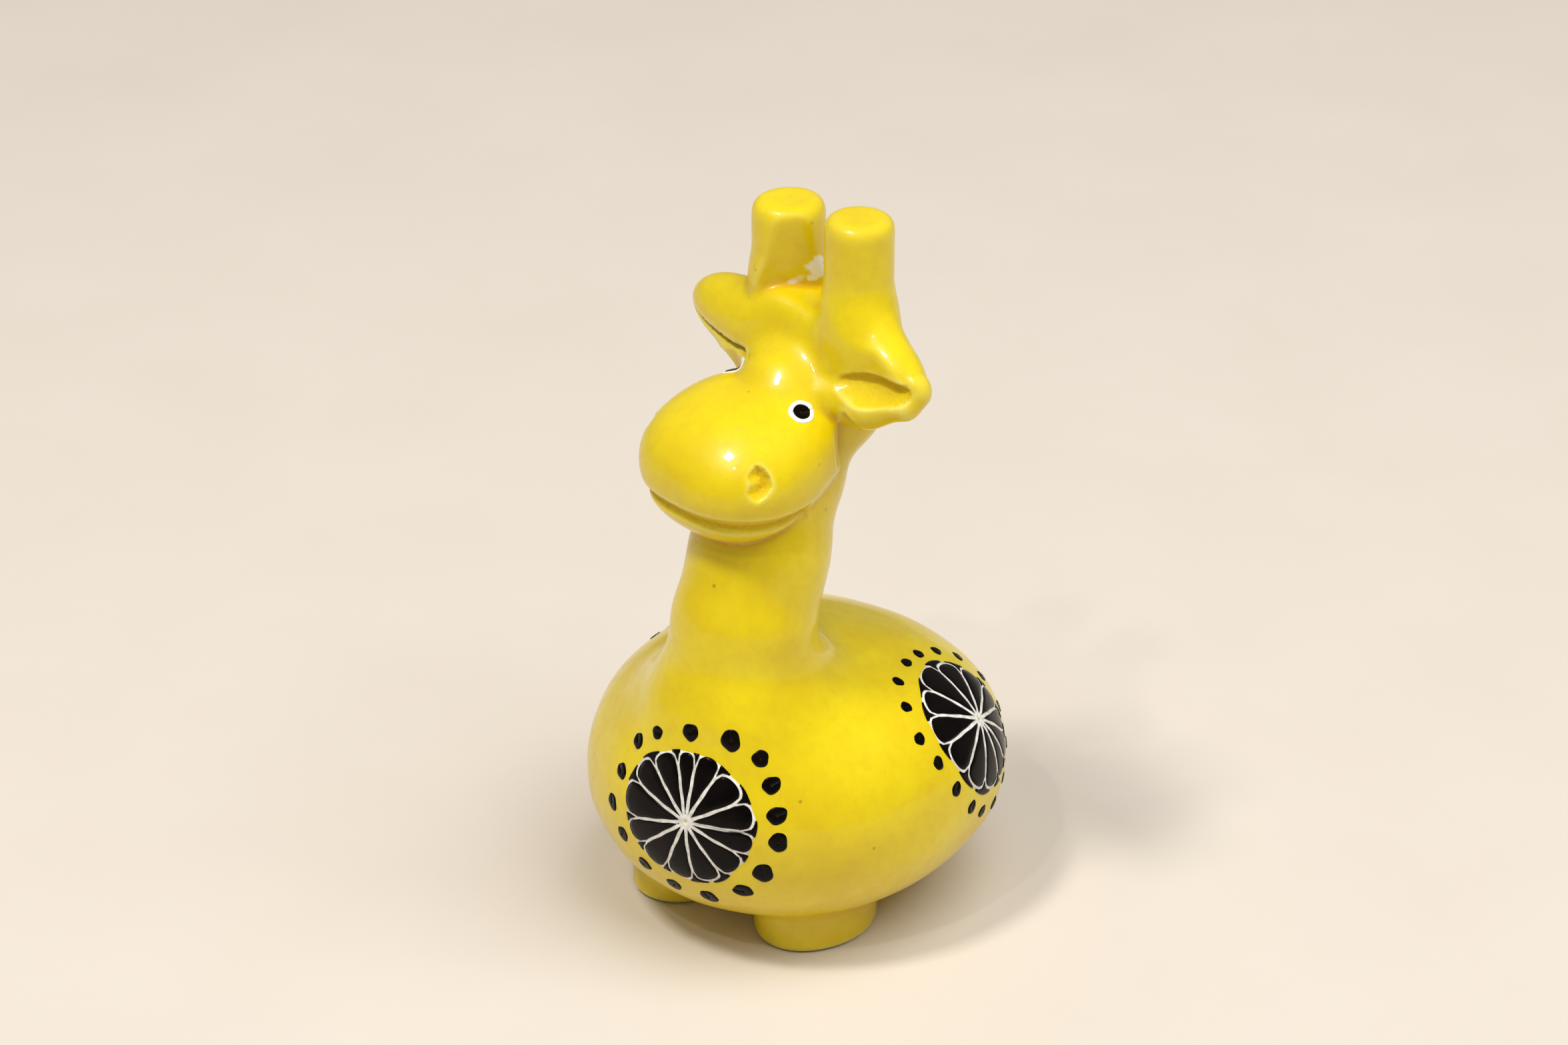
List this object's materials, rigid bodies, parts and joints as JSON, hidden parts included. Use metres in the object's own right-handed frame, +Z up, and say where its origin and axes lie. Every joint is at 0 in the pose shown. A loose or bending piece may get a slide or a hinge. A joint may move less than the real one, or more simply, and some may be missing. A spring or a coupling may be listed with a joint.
{
  "type": "carved stone giraffe figurine",
  "caption": "Small carved soapstone giraffe with a squat round body, short oval feet, upright neck and blunt horns, dyed yellow with black lacquer flower panels and dots.",
  "frame": {"origin": "on the surface the figure stands on, under the middle of its bounding box", "axes": "+Z up; -Y the way the body faces; +X the giraffe's own left side"},
  "size_m": [0.0512, 0.0534, 0.092],
  "materials": {
    "dyed_stone": "soapstone dyed yellow, rubbed smooth and waxed to a soft gloss",
    "black_lacquer": "black lacquer brushed thinly on the stone, glossy",
    "white_paint": "white paint, half gloss"
  },
  "bodies": {
    "root": {"carved_stone": "dyed_stone", "chest_panel": "black_lacquer", "chest_dot_01": "black_lacquer", "chest_dot_02": "black_lacquer", "chest_dot_03": "black_lacquer", "chest_dot_04": "black_lacquer", "chest_dot_05": "black_lacquer", "chest_dot_06": "black_lacquer", "chest_dot_07": "black_lacquer", "chest_dot_08": "black_lacquer", "chest_dot_09": "black_lacquer", "chest_dot_10": "black_lacquer", "chest_dot_11": "black_lacquer", "chest_dot_12": "black_lacquer", "chest_dot_13": "black_lacquer", "chest_dot_14": "black_lacquer", "chest_dot_15": "black_lacquer", "chest_dot_16": "black_lacquer", "left_flank_panel": "black_lacquer", "left_flank_dot_01": "black_lacquer", "left_flank_dot_02": "black_lacquer", "left_flank_dot_03": "black_lacquer", "left_flank_dot_04": "black_lacquer", "left_flank_dot_05": "black_lacquer", "left_flank_dot_06": "black_lacquer", "left_flank_dot_07": "black_lacquer", "left_flank_dot_08": "black_lacquer", "left_flank_dot_09": "black_lacquer", "left_flank_dot_10": "black_lacquer", "left_flank_dot_11": "black_lacquer", "left_flank_dot_12": "black_lacquer", "left_flank_dot_13": "black_lacquer", "left_flank_dot_14": "black_lacquer", "left_flank_dot_15": "black_lacquer", "left_flank_dot_16": "black_lacquer", "right_flank_panel": "black_lacquer", "right_flank_dot_01": "black_lacquer", "right_flank_dot_02": "black_lacquer", "right_flank_dot_03": "black_lacquer", "right_flank_dot_04": "black_lacquer", "right_flank_dot_05": "black_lacquer", "right_flank_dot_06": "black_lacquer", "right_flank_dot_07": "black_lacquer", "right_flank_dot_08": "black_lacquer", "right_flank_dot_09": "black_lacquer", "right_flank_dot_10": "black_lacquer", "right_flank_dot_11": "black_lacquer", "right_flank_dot_12": "black_lacquer", "right_flank_dot_13": "black_lacquer", "right_flank_dot_14": "black_lacquer", "right_flank_dot_15": "black_lacquer", "right_flank_dot_16": "black_lacquer", "left_eye_ring": "white_paint", "left_eye_pupil": "black_lacquer", "right_eye_ring": "white_paint", "right_eye_pupil": "black_lacquer"}
  },
  "joints": []
}
